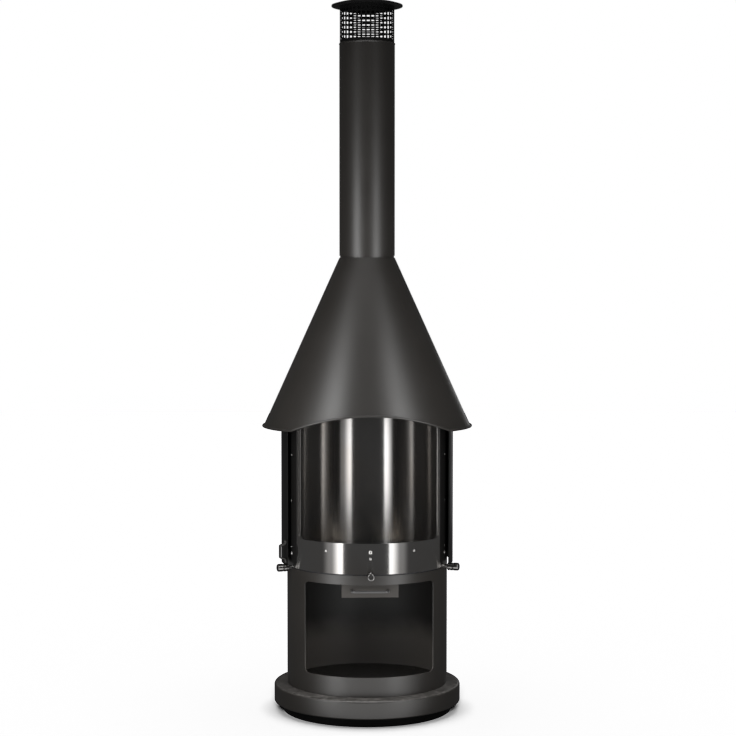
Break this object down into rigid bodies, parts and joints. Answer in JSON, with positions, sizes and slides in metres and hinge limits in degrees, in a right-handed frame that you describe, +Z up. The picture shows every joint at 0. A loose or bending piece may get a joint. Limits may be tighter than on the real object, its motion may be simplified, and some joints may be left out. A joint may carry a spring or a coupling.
{
  "type": "outdoor grill fireplace",
  "caption": "Round outdoor fireplace with a wood store, a fire chamber with a turning wind shield, an ash drawer, an arched cone hood and a flue pipe with a spark screen and rain cap.",
  "frame": {"origin": "centre of the bottom plate's underside, on the ground, on the axis of the flue", "axes": "+Z up along the flue, -Y towards the front window, +X to the right seen from the front"},
  "size_m": [0.756, 0.7302, 2.566],
  "materials": {
    "charcoal_paint": "heat-resistant semi-matte charcoal paint",
    "black_paint": "satin black paint",
    "screen_paint": "matte black paint",
    "shell_steel": "bright stainless sheet with a fine brushed grain",
    "turned_steel": "turned stainless",
    "stainless_rod": "stainless rod, heat tinted",
    "fastener": "bright stainless",
    "bare_steel": "mill-scaled steel",
    "cast_iron": "rough cast"
  },
  "bodies": {
    "fireplace": {"plinth": "black_paint", "bottom_plate": "black_paint", "base_pan": "charcoal_paint", "base_bolts": "fastener", "store_floor": "charcoal_paint", "wood_store": "charcoal_paint", "hearth_ring": "bare_steel", "hearth_plate": "bare_steel", "ash_chute": "bare_steel", "fire_grate": "cast_iron", "drawer_rails": "bare_steel", "firebox_shell": "shell_steel", "window_frame": "shell_steel", "front_strap": "bare_steel", "support_posts": "bare_steel", "top_brackets": "bare_steel", "band_liner": "bare_steel", "liner_spacers": "fastener", "band_screws": "fastener", "strip_screws": "fastener", "dome_bolts": "fastener", "bolt_nuts": "fastener", "screw_nuts": "fastener", "guide_pads": "cast_iron", "pad_screws": "fastener", "roller_axles": "turned_steel", "axle_spacers": "turned_steel", "hood_ring": "bare_steel", "hood_bolts": "fastener", "hood": "charcoal_paint", "hood_hem": "charcoal_paint", "flue_collar": "charcoal_paint", "flue_pipe": "charcoal_paint", "spark_screen": "screen_paint", "screen_ring": "screen_paint", "cap_plate": "screen_paint", "cap_screws": "fastener", "rain_cap": "screen_paint"},
    "wind_shield": {"wind_shield": "black_paint", "shield_handle": "turned_steel", "shield_handle_screws": "fastener"},
    "front_roller": {"roller_front": "turned_steel"},
    "right_roller": {"roller_right": "turned_steel"},
    "rear_right_roller": {"roller_rear_right": "turned_steel"},
    "rear_left_roller": {"roller_rear_left": "turned_steel"},
    "left_roller": {"roller_left": "turned_steel"},
    "ash_drawer": {"ash_drawer": "bare_steel", "drawer_sides": "bare_steel", "drawer_ends": "bare_steel", "drawer_front": "charcoal_paint", "drawer_handle": "black_paint", "drawer_handle_screws": "fastener"},
    "cooking_grid": {"cooking_grid": "stainless_rod"}
  },
  "joints": [
    {"name": "shield_turn", "type": "hinge", "parent": "fireplace", "child": "wind_shield", "pos_m": [0, 0, 0.83], "axis": [0, 0, 1], "continuous": true},
    {"name": "front_roller_spin", "type": "hinge", "parent": "fireplace", "child": "front_roller", "pos_m": [0, -0.30975, 0.531], "axis": [0, -1, 0], "continuous": true},
    {"name": "right_roller_spin", "type": "hinge", "parent": "fireplace", "child": "right_roller", "pos_m": [0.29459, -0.09572, 0.531], "axis": [0.9511, -0.309, 0], "continuous": true},
    {"name": "rear_right_roller_spin", "type": "hinge", "parent": "fireplace", "child": "rear_right_roller", "pos_m": [0.18207, 0.25059, 0.531], "axis": [0.5878, 0.809, 0], "continuous": true},
    {"name": "rear_left_roller_spin", "type": "hinge", "parent": "fireplace", "child": "rear_left_roller", "pos_m": [-0.18207, 0.25059, 0.531], "axis": [-0.5878, 0.809, 0], "continuous": true},
    {"name": "left_roller_spin", "type": "hinge", "parent": "fireplace", "child": "left_roller", "pos_m": [-0.29459, -0.09572, 0.531], "axis": [-0.9511, -0.309, 0], "continuous": true},
    {"name": "ash_drawer_slide", "type": "slide", "parent": "fireplace", "child": "ash_drawer", "axis": [0, -1, 0], "range_m": [0, 0.25]},
    {"name": "cooking_grid_lift", "type": "slide", "parent": "fireplace", "child": "cooking_grid", "axis": [0, 0, 1], "range_m": [0, 0.1]}
  ],
  "couplings": [
    {"joint": "front_roller_spin", "follows": "shield_turn", "ratio": -32.605},
    {"joint": "right_roller_spin", "follows": "shield_turn", "ratio": -32.605},
    {"joint": "rear_right_roller_spin", "follows": "shield_turn", "ratio": -32.605},
    {"joint": "rear_left_roller_spin", "follows": "shield_turn", "ratio": -32.605},
    {"joint": "left_roller_spin", "follows": "shield_turn", "ratio": -32.605}
  ]
}
